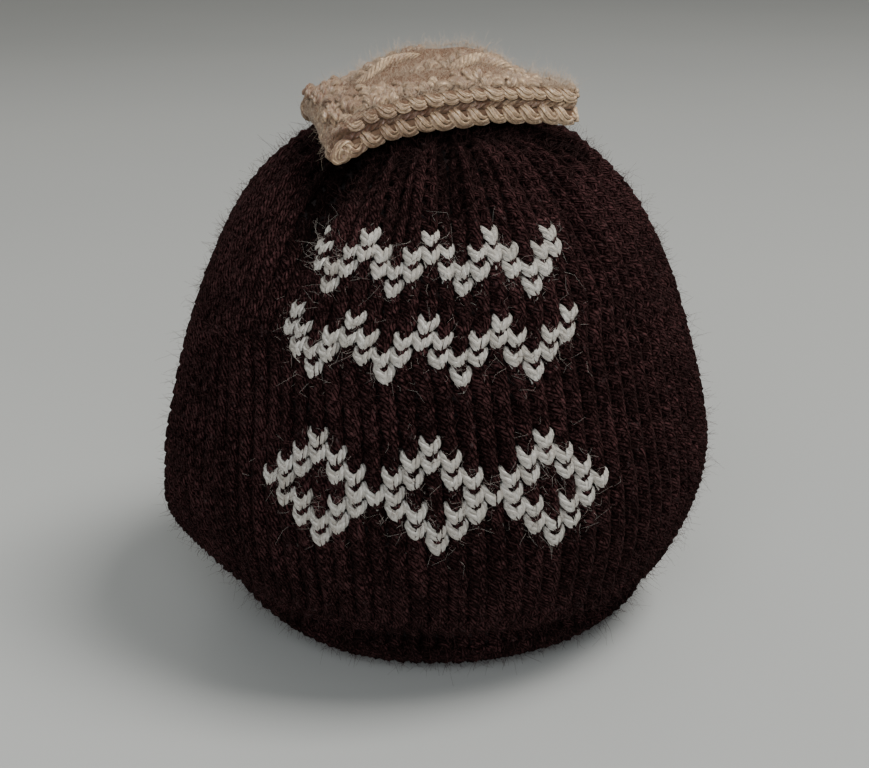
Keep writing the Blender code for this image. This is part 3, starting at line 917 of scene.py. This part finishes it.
# Between the two layers a strand of the same yarn fills the groove, painted dark as painted shade and darker
# towards the left end.
t = np.linspace(0, 1, 120)
along = -33.0 + 68.5 * np.tile(t, (2, 1))
across = np.stack(cap_edges(along[0])) + np.array([[1.7], [-1.7]])
paths = to_cosy(along, across, CAP_HEIGHT / 2 + 0 * along)
facing = to_cosy(along, across + np.array([[-1.0], [1.0]]), 0 * along) - to_cosy(along, across, 0 * along)
tone = -0.35 + 0.012 * along + 0.15 * np.sin(23 * along)
edges.append(plied_object("cap_groove", paths, 1.25, facing, beige_yarn, tone, np.zeros((2, 1)), 3, 7.0, 4))

# The yarn's end curls up at the front of the fold, and a strand goes round each right-hand end of the strip.
a = np.linspace(0.3, 3.5 * np.pi, 56)
curl_radius = 2.9 - 2.0 * a / a[-1]
along, above = -31.6 + curl_radius * np.cos(a), 3.4 - curl_radius * np.sin(a)
across = cap_edges(along)[0] + 0.6 - 1.4 * a / a[-1]
curl = to_cosy(along, across, above)[None]
forward = (to_cosy(along, across - 1, above) - to_cosy(along, across, above))[None]
tone = 0.5 + 0 * a[None]
edges.append(plied_object("cap_curl", curl, 0.95, forward, beige_yarn, tone, np.zeros((1, 1)), 3, 9.0, 5))
t = np.linspace(0, 1, 16)
ends = np.array([[0.6], [BAND_LENGTH - 0.6]])
back = 0.6 + t * (band_width(ends) - 1.2)
paths, facing = band_point(ends, back, 1.2 * np.cos(3 * np.pi * t) + 0 * ends)
outward = to_cosy(1 + 0 * back, 0 * back, 0 * back) - to_cosy(0 * back, 0 * back, 0 * back)
edges.append(
    plied_object("cap_ends", paths, 1.7, outward, beige_yarn, 0.55 + 0 * back, np.array([[0.2], [0.6]]), 4, 11.0, 5)
)

# The crests: ropes of gathered stitches slanting up to the right, one along each half of the crown.
CRESTS = (
    # along from and to, across from and to, how far it arches back, thickness
    (-23.5, -5.0, -1.8, 1.5, 0.8, 2.0),
    (1.0, 22.5, -6.3, -2.5, 2.2, 2.7),
    (-8.0, 8.0, 10.0, 9.0, 2.0, 1.8),
)
t = np.linspace(0, 1, 48)
a = np.array(CRESTS)[:, :, None]
along, across = a[:, 0] + (a[:, 1] - a[:, 0]) * t, a[:, 2] + (a[:, 3] - a[:, 2]) * t + a[:, 4] * np.sin(np.pi * t)
paths = to_cosy(along, across, cap_top(along, across) - 0.4)
facing = np.broadcast_to([0.0, 0.0, 1.0], paths.shape)
thick = a[:, 5] * (0.3 + 0.7 * np.sin(np.pi * t**0.8) ** 0.7)
plied_object("cap_crests", paths, thick, facing, beige_yarn, 0.62 + 0 * thick, np.zeros((3, 1)), 6, 9.0, 5)

# Fuzz. Stray fibres stand out all over the yarn, long ones and a shorter, thicker down. They are dark on the
# body and pale round the motif and the cap.

HAIR_CURL = 0.8  # how far a hair bends over


def fuzz_object(name, roots, facing, material, seed, reach, radius, steps=3):
    """Thin bent hairs: each leaves its root at an angle, curls over and ends in a fine tip."""
    rng = np.random.default_rng(seed)
    count = len(roots)
    lean = unit(facing + rng.normal(0, 0.7, (count, 3)))
    bend = rng.normal(0, 1, (count, 3))
    second = rng.normal(0, 1, (count, 3))
    length = reach[0] + (reach[1] - reach[0]) * rng.uniform(0, 1, (count, 1)) ** 1.5
    t = np.linspace(0, 1, steps)[:, None]
    over = HAIR_CURL * (0.5 * t**2 * bend[:, None] + 0.2 * np.sin(np.pi * 1.3 * t) * second[:, None])
    paths = roots[:, None] + length[:, None] * (t * lean[:, None] + over)
    paths[..., 2] = np.maximum(paths[..., 2], 0.1)
    side = np.cross(lean, bend)[:, None] + 0 * paths
    thick = radius * (1 - 0.6 * t[:, 0]) + np.zeros((count, 1))
    return tube_object(name, paths, thick, side, material, 3)


def fibre_material(name, colour):
    """One dull colour for loose fibres."""
    material, _, shader = principled(name, 0.8, Specular_IOR_Level=0.05)
    shader.inputs["Base Color"].default_value = (*colour, 1)
    return material


rng = np.random.default_rng(41)
brown_fibre = fibre_material("brown_fibre", (0.06, 0.03, 0.029))
pale_fibre = fibre_material("pale_fibre", (0.55, 0.50, 0.45))
beige_fibre = fibre_material("beige_fibre", (0.58, 0.46, 0.35))
for back_side, loops, name, count in ((False, front_loops, "front", 3600), (True, back_loops, "back", 1700)):
    for kind, hairs, reach, thick, steps in (
        ("fuzz", count, (1.6, 5.2), 0.036, 3),
        ("down", 8000, (1.2, 3.2), 0.05, 2),
    ):
        column = rng.uniform(0.1, PANEL_COLUMNS - 0.1, hairs)
        up = rng.uniform(1, UP_LENGTH - 12, hairs)
        rib = np.cos(2 * np.pi * (column - RIB_PHASE))
        roots, facing = panel_point(back_side, column, up, 2.25 - RIB * rib)
        seed = 42 + back_side
        hair = fuzz_object(f"{name}_{kind}", roots, facing, brown_fibre, seed, reach, thick, steps=steps)
        loops.append(hair)
count = 1300
pick = rng.integers(0, len(columns), count)
column = columns[pick, 0] + 0.5 + rng.normal(0, 0.6, count)
up = HEM_TOP + (rows[pick, 0] + 0.5 + rng.normal(0, 0.6, count)) * ROW_HEIGHT
roots, facing = panel_point(False, column, up, np.full(count, 3.0))
front_loops.append(fuzz_object("motif_fuzz", roots, 0.6 * facing, pale_fibre, 44, (1.0, 5.5), 0.024))
count = 4800
length, back = rng.uniform(0.5, 1, count) * BAND_LENGTH, rng.uniform(0, 1, count) ** 1.5
roots, facing = band_point(length, back * band_width(length), np.full(count, 2.2))
cap_fuzz = fuzz_object("cap_fuzz", roots, facing, beige_fibre, 45, (0.8, 3.4), 0.032)
spread = rng.uniform(0, 1, (2, 3500))
along = cx + half_x * np.sqrt(spread[0]) * np.cos(2 * np.pi * spread[1])
across = cy + half_y * np.sqrt(spread[0]) * np.sin(2 * np.pi * spread[1])
roots = to_cosy(along, across, cap_top(along, across) + 0.8)
facing = np.broadcast_to([0.0, 0.0, 1.0], roots.shape)
fuzz_object("crown_fuzz", roots, facing, beige_fibre, 46, (0.8, 3.2), 0.032)
